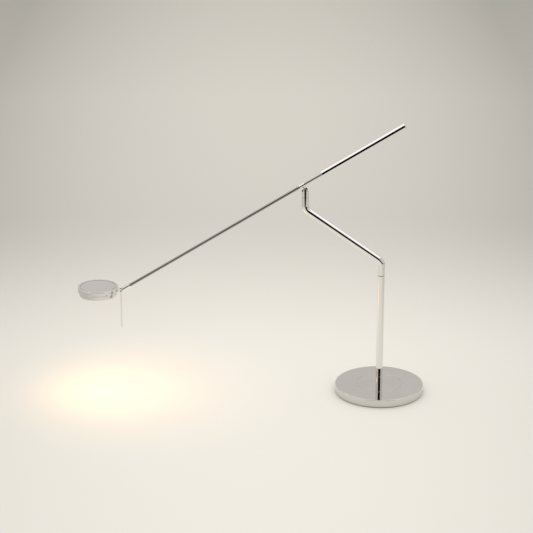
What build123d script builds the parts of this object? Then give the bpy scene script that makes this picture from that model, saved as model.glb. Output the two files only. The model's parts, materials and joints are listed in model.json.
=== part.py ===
from build123d import *
import os
from math import atan2, cos, radians, sin, sqrt, tan

# Counterweight balance desk lamp, in millimetres and degrees.
# Origin: centre of the base, on the desk. +Z is up. The lamp's long plane is X-Z,
# with the lamp head towards -X and the counterweight towards +X.

# ---- driving dimensions: base -------------------------------------------------
base_diameter = 180.0
cover_height = 15.2
cover_wall = 1.5
cover_edge_radius = 1.2
ring_groove_diameter = 92.0
ring_groove_width = 1.2
ring_groove_depth = 0.5
pad_thickness = 1.5
pad_inset = 3.0
plate_thickness = 1.0
weight_gap = 0.3
weight_edge = 0.5
plate_screw_inset = 18.2
plate_screw_count = 3
plate_screw_diameter = 3.0
plate_screw_head = 5.6
plate_screw_length = 8.0

# post foot: threaded tail, washer and nut that clamp post, cover and weight
foot_tail_diameter = 8.0
foot_plug_length = 16.0
foot_bore = 4.6
clamp_web = 3.0
washer_diameter = 20.0
washer_thickness = 1.2
nut_across_flats = 13.0
nut_height = 4.0
nut_pocket_diameter = 26.0
tail_below_nut = 0.4

# cord inlet at the back of the base, and the terminal block behind it
gland_bore = 5.2
gland_neck = 7.2
gland_flange = 10.0
gland_flange_thickness = 1.2
gland_room_depth = 4.0
channel_width = 6.0
channel_depth = 4.6
terminal_width = 14.0
terminal_length = 18.0
terminal_height = 8.0
terminal_distance = 46.0
wire_hole = 2.6
pocket_gap = 0.5

# ---- driving dimensions: post and bent stem -----------------------------------
post_diameter = 14.2
post_wall = 0.75
post_top_height = 251.5
bush_flange = 1.0
bush_depth = 14.0
bush_flange_inset = 0.5
stem_diameter = 14.2
stem_wall = 1.0
stem_straight = 29.1
stem_reach = 153.8
stem_rise = 109.9
stem_bend_radius = 16.0
stem_top_straight = 17.3
journal_diameter = 10.2
stem_insertion = 76.0
spigot_press_length = 12.0
seat_height = 12.0
tail_diameter = 6.5
tail_length = 9.5
groove_depth = 0.9
stop_web_angle = 12.0
stop_screw_diameter = 3.0
stop_tip_diameter = 1.6
stop_screw_above_tail_end = 3.5
grub_socket_depth = 1.5
lead_diameter = 2.4
lead_clearance = 0.2

# ---- driving dimensions: inner sleeve and fork --------------------------------
sleeve_length = 14.0
fork_washer_thickness = 0.5
fork_washer_inset = 0.4
fork_barrel_length = 11.6
pivot_above_barrel = 2.1
ear_radius = 4.6
slot_floor_clearance = 0.7

# ---- driving dimensions: arm --------------------------------------------------
arm_angle = 31.3
arm_offset = 11.75
arm_reach = 426.8
arm_diameter = 6.0
arm_wall = 0.75
tongue_thickness = 5.0
tongue_foot_radius = 5.0
tongue_head_left = 6.3
tongue_head_right = 5.6
tongue_head_height = 4.0
tongue_head_depth = 2.0
tongue_neck_diameter = 5.0
coupling_diameter = 7.2
coupling_left = 6.5
coupling_right = 5.5
coupling_tube_stop = 1.5
coupling_rod_stop = 1.2
friction_washer_thickness = 0.65
friction_washer_diameter = 8.4
pivot_thread_diameter = 4.0
pivot_tip_diameter = 3.0
pivot_tip_reach = 1.35
pivot_screw_recess = 0.5
tail_rod_diameter = 4.0
counterweight_diameter = 12.6
counterweight_start = 44.6
counterweight_length = 191.2
counterweight_socket = 20.0
counterweight_edge = 0.6
set_screw_diameter = 3.0
arm_lead_diameter = 1.8
arm_lead_bend = 2.5

# ---- driving dimensions: swivel ferrule and knuckle ---------------------------
ferrule_diameter = 8.0
ferrule_length = 17.9
ferrule_to_hub = 4.5
ferrule_end_chamfer = 1.0
plug_press_length = 8.0
plug_tail_diameter = 5.0
plug_tail_length = 12.0
plug_groove_depth = 0.6
plug_web_angle = 130.0
ferrule_screw_diameter = 2.0
ferrule_tip_diameter = 1.2
small_socket_depth = 0.7
ferrule_tongue_thickness = 4.2
ferrule_tongue_width = 4.4
ferrule_eye_radius = 3.1
knuckle_cheek = 1.75
knuckle_radius = 3.6
knuckle_boss_radius = 2.4
knuckle_pin_thread = 3.0
knuckle_pin_tip = 2.5
knuckle_pin_reach = 1.2
knuckle_pin_recess = 0.2
knuckle_slot_gap = 0.15
knuckle_eye_gap = 0.4
neck_diameter = 3.4
neck_reach = 5.85
neck_above_rim = 2.8
neck_nut_across_flats = 5.5
neck_nut_height = 2.0
neck_length_past_wall = 3.4
bridge_width = 3.8
bridge_depth = 2.7
head_tilt_up = 42.0
head_tilt_down = 50.0
handle_diameter = 3.0
handle_length = 74.3
handle_thread_diameter = 2.0
handle_thread_length = 2.0

# ---- driving dimensions: lamp head --------------------------------------------
head_rest_tilt = 0.0
head_diameter = 81.0
housing_bottom = 0.1
housing_height = 7.2
housing_wall = 0.9
housing_edge_radius = 1.0
cap_inset = 5.75
cap_rise = 1.5
cap_wall = 0.8
cap_groove_width = 1.3
cap_stud_diameter = 3.0
cap_stud_inset = 9.75
shade_inset = 2.3
shade_depth = 10.3
shade_wall = 0.9
shade_edge_radius = 3.0
shade_lip_height = 3.0
lens_seat_width = 2.0
shade_screw_diameter = 2.0
shade_notch_width = 11.0
shade_notch_depth = 8.0
lens_seat_gap = 0.2
lens_thickness = 2.0
lens_ring_width = 3.6
lens_ring_thickness = 0.5
lens_ring_split = 4.0
reflector_wall = 0.6
reflector_flat_radius = 12.0
reflector_rim_gap = 1.8
reflector_window_lead = 3.0
holder_length = 12.0
holder_width = 14.0
holder_neck_gap = 1.2
holder_height = 11.1
holder_corner = 1.5
holder_lead_socket = 3.0
holder_screw_diameter = 2.5
holder_screw_head = 4.4
holder_screw_head_depth = 2.0
holder_screw_recess = 0.4
holder_screw_spacing = 9.4
capsule_diameter = 9.5
capsule_length = 17.0
capsule_drop = 7.0
seal_length = 8.0
seal_overlap = 1.0
seal_width = 7.0
seal_thickness = 3.0
lamp_pin_diameter = 0.8
lamp_pin_pitch = 4.0
lamp_pin_depth = 6.0

# ---- clearances ---------------------------------------------------------------
running_clearance = 0.05
face_gap = 0.05
fit_gap = 0.1
screw_recess = 0.1
# How far a cutting solid runs past the face that it cuts.
over = 1.0

# ---- places worked out from the driving dimensions -----------------------------
base_radius = base_diameter / 2
plate_top = pad_thickness + plate_thickness
cover_top = pad_thickness + cover_height
weight_top = cover_top - cover_wall
weight_radius = base_radius - cover_wall - weight_gap
plate_screw_circle = 2 * (weight_radius - plate_screw_inset)
clamp_height = weight_top - clamp_web
nut_bottom = clamp_height - washer_thickness - nut_height
foot_tail_bottom = nut_bottom - tail_below_nut
channel_top = plate_top + channel_depth
lead_floor_height = plate_top + lead_diameter / 2 + lead_clearance
gland_height = plate_top + gland_flange / 2 + fit_gap

post_bore = post_diameter - 2 * post_wall
bush_bore = journal_diameter + 2 * running_clearance
spigot_bottom = post_top_height - stem_insertion
seat_top = spigot_bottom - face_gap
seat_bore = tail_diameter + 2 * running_clearance
stop_screw_drop = tail_length - stop_screw_above_tail_end
stop_tip_start = tail_diameter / 2 - groove_depth + fit_gap
stop_shoulder = seat_bore / 2 + fit_gap
stem_bore = stem_diameter - 2 * stem_wall
stem_bottom = post_top_height + bush_flange + face_gap
stem_corner_height = post_top_height + bush_flange + stem_straight
upper_corner_height = stem_corner_height + stem_rise
stem_turn = atan2(stem_reach, stem_rise)
stem_top = upper_corner_height + stem_bend_radius * tan(stem_turn / 2) + stem_top_straight

fork_bottom = stem_top + fork_washer_thickness + face_gap
barrel_top = fork_bottom + fork_barrel_length
pivot_height = barrel_top + pivot_above_barrel
slot_half = tongue_thickness / 2 + face_gap + friction_washer_thickness
slot_floor = pivot_height - tongue_foot_radius - slot_floor_clearance
ear_half = stem_diameter / 2

arm_bore = arm_diameter - 2 * arm_wall
arm_lead_bore = arm_lead_diameter + 2 * lead_clearance
ferrule_start = -arm_reach + ferrule_to_hub + ferrule_length
arm_tube_end = ferrule_start + fit_gap
plug_groove_place = arm_tube_end - plug_tail_length / 2

head_radius = head_diameter / 2
head_reach = head_radius + neck_reach
housing_top = housing_bottom + housing_height
housing_ceiling = housing_top - housing_wall
rim_top = housing_top + cap_rise
housing_inner_radius = head_radius - housing_wall
shade_bottom = housing_bottom - shade_depth
lens_bottom = shade_bottom + shade_wall
lens_top = lens_bottom + lens_thickness
shade_diameter = head_diameter - 2 * shade_inset
shade_bore = shade_diameter - 2 * shade_wall
lens_diameter = shade_diameter - 2 * shade_edge_radius - 2 * lens_seat_gap
shade_opening = lens_diameter - 2 * lens_seat_width
reflector_rim_radius = shade_bore / 2 - reflector_rim_gap
cap_diameter = head_diameter - 2 * cap_inset
cap_stud_circle = cap_diameter - 2 * cap_stud_inset
neck_height = housing_bottom + neck_above_rim
holder_distance = housing_inner_radius - neck_length_past_wall - holder_neck_gap - holder_length
holder_bottom = housing_ceiling - holder_height
holder_thread_top = housing_ceiling + housing_wall / 2
capsule_height = housing_ceiling - capsule_drop
knuckle_half = ferrule_tongue_thickness / 2 + knuckle_slot_gap + knuckle_cheek
knuckle_slot_half = ferrule_tongue_thickness / 2 + knuckle_slot_gap
bridge_top = -(ferrule_eye_radius + knuckle_eye_gap)
bridge_bottom = bridge_top - bridge_depth

# Frames: the arm frame has its origin on the pivot axis, +X up the arm towards the
# counterweight. The head frame has its origin on the knuckle axis, +Z square to the
# head's flat faces.
pivot_point = Vector(-stem_reach, 0, pivot_height)
arm_place = Pos(-stem_reach, 0, pivot_height) * Rot(0, -arm_angle, 0)
arm_cos = cos(radians(arm_angle))
arm_sin = sin(radians(arm_angle))
hub_x = -stem_reach - arm_reach * arm_cos - arm_offset * arm_sin
hub_z = pivot_height - arm_reach * arm_sin + arm_offset * arm_cos
head_place = Pos(hub_x, 0, hub_z) * Rot(0, -head_rest_tilt, 0)


# ---- small makers ---------------------------------------------------------------
def rod(diameter, bottom, top):
    """Upright cylinder on the Z axis between two heights."""
    return Pos(0, 0, bottom) * Cylinder(diameter / 2, top - bottom, align=(Align.CENTER, Align.CENTER, Align.MIN))


def ring(outer, inner, bottom, top):
    """Upright ring on the Z axis between two heights."""
    return rod(outer, bottom, top) - rod(inner, bottom, top)


def rod_x(diameter, start, end, height=0.0):
    """Cylinder along X between two places, at a height."""
    return Pos(start, 0, height) * Rot(0, 90, 0) * rod(diameter, 0, end - start)


def rod_y(diameter, start, end, x=0.0, z=0.0):
    """Cylinder along Y between two places."""
    return Pos(x, start, z) * Rot(-90, 0, 0) * rod(diameter, 0, end - start)


def hexagon(across_flats, bottom, top):
    """Upright hexagonal prism between two heights."""
    outline = RegularPolygon(across_flats / 2, 6, major_radius=False)
    return Pos(0, 0, bottom) * extrude(outline, top - bottom)


def block(x0, x1, y0, y1, z0, z1):
    """Box between two corners."""
    return Pos(x0, y0, z0) * Box(x1 - x0, y1 - y0, z1 - z0, align=Align.MIN)


def side_plate(outline, half_thickness):
    """X-Z outline, given as a sketch on the X-Y plane, made a plate either side of Y = 0."""
    return Rot(90, 0, 0) * extrude(outline, half_thickness, both=True)


def lead(points, diameter, bend):
    """Length of the inner two-core lead: straight runs joined by arcs."""
    route = FilletPolyline(*points, radius=bend) if len(points) > 2 else Polyline(*points)
    return sweep(Plane(origin=route @ 0, z_dir=route % 0) * Circle(diameter / 2), path=route)


def grub_screw(diameter, inner, outer, socket_depth):
    """Headless screw along +Y between two distances from the axis, with its key socket outside."""
    return rod_y(diameter, inner, outer) - rod_y(diameter / 2, outer - socket_depth, outer)


def stop_groove(diameter, depth, width, web_angle):
    """Ring groove round the Z axis at Z = 0, broken at -Y by the web that stops the swivel."""
    groove = ring(diameter + over, diameter - 2 * depth, -width / 2, width / 2)
    reach = diameter
    half = radians(web_angle / 2)
    web = Polygon((0, 0), (-reach * sin(half), -reach * cos(half)), (reach * sin(half), -reach * cos(half)), align=None)
    return groove - Pos(0, 0, -width) * extrude(web, 2 * width)


# ---- base ------------------------------------------------------------------------
def make_base_cover():
    """Spun steel cover, open below, with the ring groove turned in its top."""
    cover = rod(base_diameter, pad_thickness, cover_top)
    cover = fillet(cover.edges().group_by(Axis.Z)[-1], cover_edge_radius)
    cover -= rod(base_diameter - 2 * cover_wall, 0, weight_top)
    cover -= ring(ring_groove_diameter + ring_groove_width, ring_groove_diameter - ring_groove_width,
                  cover_top - ring_groove_depth, cover_top + over)
    cover -= rod(foot_tail_diameter, 0, cover_top + over)
    return cover - rod_y(gland_neck, 0, base_radius + over, z=gland_height)


def make_base_weight():
    """Cast iron disc that fills the cover, with pockets for nut, terminal block and lead."""
    weight = rod(2 * weight_radius, plate_top, weight_top)
    weight = chamfer(weight.edges().group_by(Axis.Z)[-1], weight_edge)
    weight -= rod(foot_tail_diameter, 0, cover_top)
    weight -= rod(nut_pocket_diameter, 0, clamp_height)
    weight -= block(-channel_width / 2, channel_width / 2, 0, base_radius, 0, channel_top)
    gland_room = gland_flange / 2 + pocket_gap
    weight -= block(-gland_room, gland_room, base_radius - cover_wall - gland_room_depth, base_radius, 0, gland_height + gland_room)
    half_width = terminal_width / 2 + pocket_gap
    half_length = terminal_length / 2 + pocket_gap
    weight -= block(-half_width, half_width, terminal_distance - half_length, terminal_distance + half_length,
                    0, plate_top + terminal_height + pocket_gap)
    for place in PolarLocations(plate_screw_circle / 2, plate_screw_count, start_angle=-90):
        weight -= place * rod(plate_screw_diameter, 0, pad_thickness + plate_screw_length)
    return weight


def screw_cone():
    """Countersunk head of a plate screw, flush with the plate's underside."""
    return Pos(0, 0, pad_thickness) * Cone(plate_screw_head / 2, plate_screw_diameter / 2, plate_thickness,
                                           align=(Align.CENTER, Align.CENTER, Align.MIN))


def make_bottom_plate():
    """Sheet steel plate that closes the base."""
    plate = rod(2 * weight_radius, pad_thickness, plate_top)
    for place in PolarLocations(plate_screw_circle / 2, plate_screw_count, start_angle=-90):
        plate -= place * screw_cone()
    return plate


def make_bottom_plate_screws():
    """Countersunk screws from the plate into the weight."""
    screw = screw_cone() + rod(plate_screw_diameter, plate_top, pad_thickness + plate_screw_length)
    return [place * screw for place in PolarLocations(plate_screw_circle / 2, plate_screw_count, start_angle=-90)]


def make_foot_pad():
    """Non-slip pad glued under the plate, a little smaller than the base."""
    return rod(base_diameter - 2 * pad_inset, 0, pad_thickness)


def make_cord_gland():
    """Rubber bush in the back wall of the cover, through which the cord would enter."""
    inner_face = base_radius - cover_wall
    gland = rod_y(gland_neck, inner_face - gland_flange_thickness, base_radius + gland_flange_thickness, z=gland_height)
    gland += rod_y(gland_flange, inner_face - gland_flange_thickness, inner_face, z=gland_height)
    outer_face = sqrt(base_radius ** 2 - (gland_flange / 2) ** 2)
    gland += rod_y(gland_flange, outer_face, base_radius + gland_flange_thickness, z=gland_height)
    gland = fillet(gland.edges().group_by(Axis.Y)[-1], gland_flange_thickness * 0.4)
    gland -= rod_y(gland_bore, 0, base_diameter, z=gland_height)
    return gland - make_base_cover()


def make_terminal_block():
    """Two-way nylon terminal block that joins the cord to the inner lead."""
    terminal = block(-terminal_width / 2, terminal_width / 2, terminal_distance - terminal_length / 2,
                     terminal_distance + terminal_length / 2, plate_top, plate_top + terminal_height)
    for side in (-1, 1):
        x = side * terminal_width / 4
        terminal -= rod_y(wire_hole, 0, base_radius, x=x, z=plate_top + wire_hole)
        for end in (-1, 1):
            y = terminal_distance + end * terminal_length / 4
            terminal -= Pos(x, y, 0) * rod(wire_hole, plate_top + wire_hole, cover_top)
    return terminal


def make_post_foot():
    """Turned steel plug pressed in the post, with the threaded tail that clamps the base."""
    foot = rod(post_bore, cover_top, cover_top + foot_plug_length)
    foot += rod(foot_tail_diameter, foot_tail_bottom, cover_top)
    return foot - rod(foot_bore, 0, cover_top + foot_plug_length)


def make_foot_washer():
    """Washer under the weight's web."""
    return ring(washer_diameter, foot_tail_diameter, clamp_height - washer_thickness, clamp_height)


def make_foot_nut():
    """Thin nut on the post foot's tail."""
    return hexagon(nut_across_flats, nut_bottom, nut_bottom + nut_height) - rod(foot_tail_diameter, 0, cover_top)


def make_post_lead():
    """Lead from the terminal block, under the nut and up the post."""
    start = terminal_distance - terminal_length / 2
    points = [(0, start, lead_floor_height), (0, 0, lead_floor_height), (0, 0, spigot_bottom - tail_length - face_gap)]
    return lead(points, lead_diameter, lead_diameter * 1.5)


# ---- post --------------------------------------------------------------------------
def make_post_tube():
    """Straight lower tube, with the hole for the stop screw in its back."""
    tube = ring(post_diameter, post_bore, cover_top, post_top_height)
    return tube - rod_y(stop_screw_diameter, 0, post_diameter, z=seat_top - stop_screw_drop)


def make_post_bush():
    """Black nylon bush in the post's mouth, whose flange is the dark line under the stem."""
    bush = rod(post_diameter - 2 * bush_flange_inset, post_top_height, post_top_height + bush_flange)
    bush += rod(post_bore, post_top_height - bush_depth, post_top_height)
    return bush - rod(bush_bore, 0, post_top_height + bush_flange)


def make_stem_seat():
    """Brass seat inside the post that carries the stem's weight."""
    seat = ring(post_bore, seat_bore, seat_top - seat_height, seat_top)
    return seat - rod_y(stop_screw_diameter, 0, post_diameter, z=seat_top - stop_screw_drop)


def make_stem_stop_screw():
    """Grub screw through post and seat, whose tip runs in the groove of the stem's tail."""
    screw = grub_screw(stop_screw_diameter, stop_shoulder, post_diameter / 2 - screw_recess, grub_socket_depth)
    screw += rod_y(stop_tip_diameter, stop_tip_start, stop_shoulder)
    return Pos(0, 0, seat_top - stop_screw_drop) * screw


# ---- bent stem -----------------------------------------------------------------------
def stem_route(bottom, top):
    """Centre line of the stem: up, along the slope and up again."""
    return FilletPolyline((0, 0, bottom), (0, 0, stem_corner_height), (-stem_reach, 0, upper_corner_height),
                          (-stem_reach, 0, top), radius=stem_bend_radius)


def make_stem_tube():
    """Bent upper tube, as thick as the post, from the bush to the split under the fork."""
    route = stem_route(stem_bottom, stem_top)
    section = Circle(stem_diameter / 2) - Circle(stem_bore / 2)
    tube = sweep(Plane(origin=route @ 0, z_dir=route % 0) * section, path=route)
    return tube - rod_y(stop_screw_diameter, 0, stem_diameter, x=-stem_reach, z=fork_bottom - stop_screw_drop)


def make_stem_spigot():
    """Brass spigot pressed in the stem's lower end: plug, journal in the bush, tail and stop groove."""
    plug_top = stem_bottom + spigot_press_length
    spigot = rod(stem_bore, stem_bottom, plug_top)
    spigot += rod(journal_diameter, spigot_bottom, stem_bottom)
    spigot += rod(tail_diameter, spigot_bottom - tail_length, spigot_bottom)
    spigot -= rod(lead_diameter, 0, plug_top)
    groove = stop_groove(tail_diameter, groove_depth, stop_tip_diameter + 2 * fit_gap, stop_web_angle)
    return spigot - Pos(0, 0, seat_top - stop_screw_drop) * groove


def make_stem_lead():
    """Lead inside the stem, from the spigot to under the fork."""
    route = stem_route(spigot_bottom - tail_length, fork_bottom - tail_length - face_gap)
    return sweep(Plane(origin=route @ 0, z_dir=route % 0) * Circle(lead_diameter / 2), path=route)


def make_stem_sleeve():
    """Turned sleeve pressed in the stem's top end, in which the fork's tail turns."""
    sleeve = ring(stem_bore, seat_bore, stem_top - sleeve_length, stem_top)
    sleeve -= rod_y(stop_screw_diameter, 0, stem_diameter, z=fork_bottom - stop_screw_drop)
    return Pos(-stem_reach, 0, 0) * sleeve


def make_fork_stop_screw():
    """Grub screw in the back of the stem's top, whose tip runs in the fork's groove."""
    screw = grub_screw(stop_screw_diameter, stop_shoulder, stem_diameter / 2 - screw_recess, grub_socket_depth)
    screw += rod_y(stop_tip_diameter, stop_tip_start, stop_shoulder)
    return Pos(-stem_reach, 0, fork_bottom - stop_screw_drop) * screw


def make_fork_washer():
    """Thin nylon washer in the split between stem and fork."""
    washer = ring(stem_diameter - 2 * fork_washer_inset, seat_bore, stem_top, stem_top + fork_washer_thickness)
    return Pos(-stem_reach, 0, 0) * washer


# ---- fork -----------------------------------------------------------------------------
def make_fork_head():
    """Turned fork: barrel, two round-topped ears and the grooved tail that turns in the sleeve."""
    top = pivot_height + ear_radius
    fork = rod(stem_diameter, fork_bottom, top)
    shoulders = block(ear_radius, stem_diameter, -stem_diameter, stem_diameter, barrel_top, top + over)
    fork -= shoulders + mirror(shoulders, about=Plane.YZ)
    arch = block(-ear_radius, ear_radius, -stem_diameter, stem_diameter, pivot_height, top + over)
    fork -= arch - rod_y(2 * ear_radius, -stem_diameter, stem_diameter, z=pivot_height)
    fork += rod(tail_diameter, fork_bottom - tail_length, fork_bottom)
    fork -= block(-stem_diameter, stem_diameter, -slot_half, slot_half, slot_floor, top + over)
    fork -= rod(lead_diameter, 0, pivot_height)
    fork -= rod_y(pivot_thread_diameter, -stem_diameter, stem_diameter, z=pivot_height)
    groove = stop_groove(tail_diameter, groove_depth, stop_tip_diameter + 2 * fit_gap, stop_web_angle)
    return Pos(-stem_reach, 0, 0) * (fork - Pos(0, 0, fork_bottom - stop_screw_drop) * groove)


def make_pivot_screws():
    """Pair of shoulder screws in the ears; their tips are the arm's pivots."""
    screw = grub_screw(pivot_thread_diameter, slot_half, ear_half - pivot_screw_recess, grub_socket_depth)
    screw += rod_y(pivot_tip_diameter, pivot_tip_reach, slot_half)
    screw = Pos(pivot_point) * screw
    return [screw, mirror(screw, about=Plane.XZ)]


def make_friction_washers():
    """Fibre washers between the ears and the arm's tongue, which hold the arm by friction."""
    washer = rod_y(friction_washer_diameter, slot_half - friction_washer_thickness, slot_half)
    washer -= rod_y(pivot_tip_diameter + fit_gap, 0, slot_half)
    washer = Pos(pivot_point) * washer
    return [washer, mirror(washer, about=Plane.XZ)]


def make_fork_lead():
    """Lead through the fork's tail."""
    points = [(-stem_reach, 0, fork_bottom - tail_length), (-stem_reach, 0, slot_floor)]
    return lead(points, lead_diameter, 0)


# ---- arm --------------------------------------------------------------------------------
def make_arm_tongue():
    """Steel tongue in the fork, with the neck and the cross coupling that holds both arm tubes."""
    head = Pos(-tongue_head_left, tongue_head_height - tongue_head_depth) * Rectangle(
        tongue_head_left + tongue_head_right, tongue_head_depth, align=Align.MIN)
    outline = make_hull((head + Circle(tongue_foot_radius)).edges())
    tongue = side_plate(outline, tongue_thickness / 2)
    tongue += rod(tongue_neck_diameter, tongue_head_height - tongue_head_depth / 2, arm_offset)
    tongue += rod_x(coupling_diameter, -coupling_left, coupling_right, arm_offset)
    tongue -= rod_x(arm_diameter, -coupling_left, -coupling_tube_stop, arm_offset)
    tongue -= rod_x(arm_bore, -coupling_tube_stop, coupling_rod_stop, arm_offset)
    tongue -= rod_x(tail_rod_diameter, coupling_rod_stop, coupling_right, arm_offset)
    tongue -= rod(arm_lead_bore, -tongue_foot_radius - over, arm_offset)
    pivot_bore = pivot_tip_diameter + 2 * running_clearance
    tongue -= rod_y(pivot_bore, -tongue_thickness, tongue_thickness)
    return arm_place * tongue


def make_arm_tube():
    """Long tube from the coupling to the ferrule."""
    tube = rod_x(arm_diameter, arm_tube_end, -coupling_tube_stop, arm_offset)
    tube -= rod_x(arm_bore, arm_tube_end, -coupling_tube_stop, arm_offset)
    return arm_place * tube


def make_arm_end_plug():
    """Brass plug pressed in the arm's lower end; the ferrule turns on its grooved tail."""
    tail_end = arm_tube_end - plug_tail_length
    plug = rod_x(arm_bore, arm_tube_end, arm_tube_end + plug_press_length)
    plug += rod_x(plug_tail_diameter, tail_end, arm_tube_end)
    plug -= rod_x(arm_lead_diameter, tail_end, arm_tube_end + plug_press_length)
    groove = stop_groove(plug_tail_diameter, plug_groove_depth, ferrule_tip_diameter + 2 * fit_gap, plug_web_angle)
    return arm_place * Pos(0, 0, arm_offset) * (plug - Pos(plug_groove_place, 0, 0) * Rot(0, 90, 0) * groove)


def make_arm_lead():
    """Lead from the tongue's foot, round into the arm tube and down to the ferrule."""
    points = [(0, 0, -tongue_foot_radius), (0, 0, arm_offset), (arm_tube_end - plug_tail_length, 0, arm_offset)]
    return arm_place * lead(points, arm_lead_diameter, arm_lead_bend)


def make_tail_rod():
    """Solid rod that carries the counterweight."""
    return arm_place * rod_x(tail_rod_diameter, coupling_rod_stop, counterweight_start + counterweight_socket, arm_offset)


def make_counterweight():
    """Long steel cylinder, bored to slide on the tail rod."""
    end = counterweight_start + counterweight_length
    weight = rod_x(counterweight_diameter, counterweight_start, end, arm_offset)
    weight = chamfer(weight.edges().filter_by(GeomType.CIRCLE), counterweight_edge)
    weight -= rod_x(tail_rod_diameter, counterweight_start, counterweight_start + counterweight_socket, arm_offset)
    hole = Pos(counterweight_start + counterweight_socket / 2, 0, arm_offset) * rod_y(
        set_screw_diameter, 0, counterweight_diameter)
    return arm_place * (weight - hole)


def make_counterweight_screw():
    """Set screw in the back of the counterweight that locks it on the rod."""
    screw = grub_screw(set_screw_diameter, tail_rod_diameter / 2, counterweight_diameter / 2 - screw_recess,
                       grub_socket_depth)
    return arm_place * Pos(counterweight_start + counterweight_socket / 2, 0, arm_offset) * screw


# ---- swivel ferrule -----------------------------------------------------------------------
def make_swivel_ferrule():
    """Ferrule that turns on the arm's end plug and ends in the tongue for the knuckle."""
    round_end = -arm_reach + ferrule_to_hub
    ferrule = rod_x(ferrule_diameter, round_end, ferrule_start)
    ferrule = chamfer(ferrule.edges().group_by(Axis.X)[0], ferrule_end_chamfer)
    tongue = Pos(-arm_reach, 0) * (Circle(ferrule_eye_radius) + Pos(0, -ferrule_tongue_width / 2) * Rectangle(
        ferrule_to_hub + over, ferrule_tongue_width, align=Align.MIN))
    ferrule += side_plate(tongue, ferrule_tongue_thickness / 2)
    bore_end = arm_tube_end - plug_tail_length - fit_gap
    ferrule -= rod_x(plug_tail_diameter + 2 * running_clearance, bore_end, ferrule_start)
    ferrule -= rod_x(arm_lead_bore, -arm_reach - ferrule_eye_radius, bore_end)
    ferrule -= rod_y(knuckle_pin_tip + 2 * running_clearance, -ferrule_diameter, ferrule_diameter, x=-arm_reach)
    ferrule -= rod_y(ferrule_screw_diameter, 0, ferrule_diameter, x=plug_groove_place)
    return arm_place * Pos(0, 0, arm_offset) * ferrule


def make_ferrule_screw():
    """Small grub screw in the back of the ferrule, whose tip runs in the plug's groove."""
    shoulder = plug_tail_diameter / 2 + running_clearance + fit_gap
    screw = grub_screw(ferrule_screw_diameter, shoulder, ferrule_diameter / 2 - screw_recess, small_socket_depth)
    screw += rod_y(ferrule_tip_diameter, plug_tail_diameter / 2 - plug_groove_depth + fit_gap, shoulder)
    return arm_place * Pos(plug_groove_place, 0, arm_offset) * screw


# ---- knuckle and handle ----------------------------------------------------------------------
def make_head_knuckle():
    """Fork between ferrule and head: two cheeks, the neck into the housing and the handle's bridge."""
    boss = Pos(-neck_reach - knuckle_boss_radius / 2, neck_height) * Circle(knuckle_boss_radius)
    outline = make_hull((Circle(knuckle_radius) + boss).edges())
    outline += Pos(0, bridge_bottom) * Rectangle(bridge_width, -bridge_bottom, align=(Align.CENTER, Align.MIN))
    knuckle = side_plate(outline, knuckle_half)
    # Room for the ferrule's tongue over the head's whole tilt.
    reach = 3 * knuckle_radius
    half_width = ferrule_tongue_width / 2 + knuckle_eye_gap
    slot = Circle(ferrule_eye_radius + knuckle_eye_gap)
    steps = 8
    first = arm_angle - head_rest_tilt - head_tilt_down
    last = arm_angle - head_rest_tilt + head_tilt_up
    for step in range(steps + 1):
        turn = first + (last - first) * step / steps
        slot += Rot(0, 0, turn) * Rectangle(reach, 2 * half_width, align=(Align.MIN, Align.CENTER))
    slot = Sketch() + (slot & Pos(0, bridge_top) * Rectangle(2 * reach, 2 * reach, align=(Align.CENTER, Align.MIN)))
    knuckle -= side_plate(slot, knuckle_slot_half)
    knuckle -= Pos(-head_reach, 0, 0) * rod(head_diameter, -2 * knuckle_radius, rim_top)
    knuckle += rod_x(neck_diameter, -neck_reach - housing_wall - neck_length_past_wall, -neck_reach, neck_height) - (
        side_plate(slot, knuckle_slot_half))
    knuckle -= rod_x(arm_lead_diameter, -2 * neck_reach - neck_length_past_wall, 0, neck_height)
    knuckle -= rod_y(knuckle_pin_thread, -knuckle_half, knuckle_half)
    knuckle -= rod(handle_thread_diameter, bridge_bottom, bridge_bottom + handle_thread_length)
    return head_place * knuckle


def make_knuckle_screws():
    """Pair of shoulder screws in the knuckle's cheeks; their tips are the head's pivots."""
    screw = grub_screw(knuckle_pin_thread, knuckle_slot_half, knuckle_half - knuckle_pin_recess, small_socket_depth)
    screw += rod_y(knuckle_pin_tip, knuckle_pin_reach, knuckle_slot_half)
    return [head_place * screw, head_place * mirror(screw, about=Plane.XZ)]


def make_neck_nut():
    """Nut inside the housing that holds the knuckle's neck."""
    nut = hexagon(neck_nut_across_flats, 0, neck_nut_height + over) - rod(neck_diameter, 0, neck_nut_height + over)
    nut = Pos(-neck_reach - housing_wall - neck_nut_height, 0, neck_height) * Rot(0, 90, 0) * Rot(0, 0, 30) * nut
    return head_place * (nut & Pos(-head_reach, 0, 0) * rod(2 * housing_inner_radius, shade_bottom, housing_top))


def make_handle_rod():
    """Thin rod under the knuckle, by which the head is aimed."""
    handle = rod(handle_diameter, bridge_bottom - handle_length, bridge_bottom)
    handle = fillet(handle.edges().group_by(Axis.Z)[0], handle_diameter * 0.4)
    handle += rod(handle_thread_diameter, bridge_bottom, bridge_bottom + handle_thread_length)
    return head_place * handle


# ---- lamp head ---------------------------------------------------------------------------------
head_centre = head_place * Pos(-head_reach, 0, 0)


def cap_stud_places():
    """Three studs under the cap, evenly spaced."""
    return PolarLocations(cap_stud_circle / 2, 3, start_angle=90)


def shade_screw_places():
    """Three screws round the housing, clear of the neck."""
    return [Rot(0, 0, angle) for angle in (60, 180, 300)]


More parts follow.
